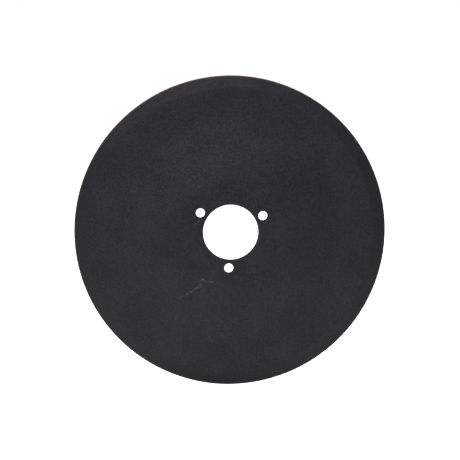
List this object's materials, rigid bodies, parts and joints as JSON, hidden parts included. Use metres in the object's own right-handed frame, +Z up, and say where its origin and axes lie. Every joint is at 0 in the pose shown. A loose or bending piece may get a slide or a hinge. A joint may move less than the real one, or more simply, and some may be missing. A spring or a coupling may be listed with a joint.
{
  "type": "seed drill opener disc",
  "caption": "Round, shallow dished steel blade with a bevelled cutting edge, a central bore and screw holes round it. It turns on a seed drill's hub and opens the furrow.",
  "frame": {"origin": "centre of the bore, in the plane of the rear seat face that bolts against the hub's flange", "axes": "+Y along the disc's axis, out of its hollow rear side towards the hub; -Y out of its convex front face, which meets the soil; +Z up, away from the screw hole straight below the bore"},
  "size_m": [0.32, 0.013, 0.32],
  "materials": {
    "black_paint": "satin"
  },
  "bodies": {
    "root": {"opener_disc": "black_paint"}
  },
  "joints": []
}
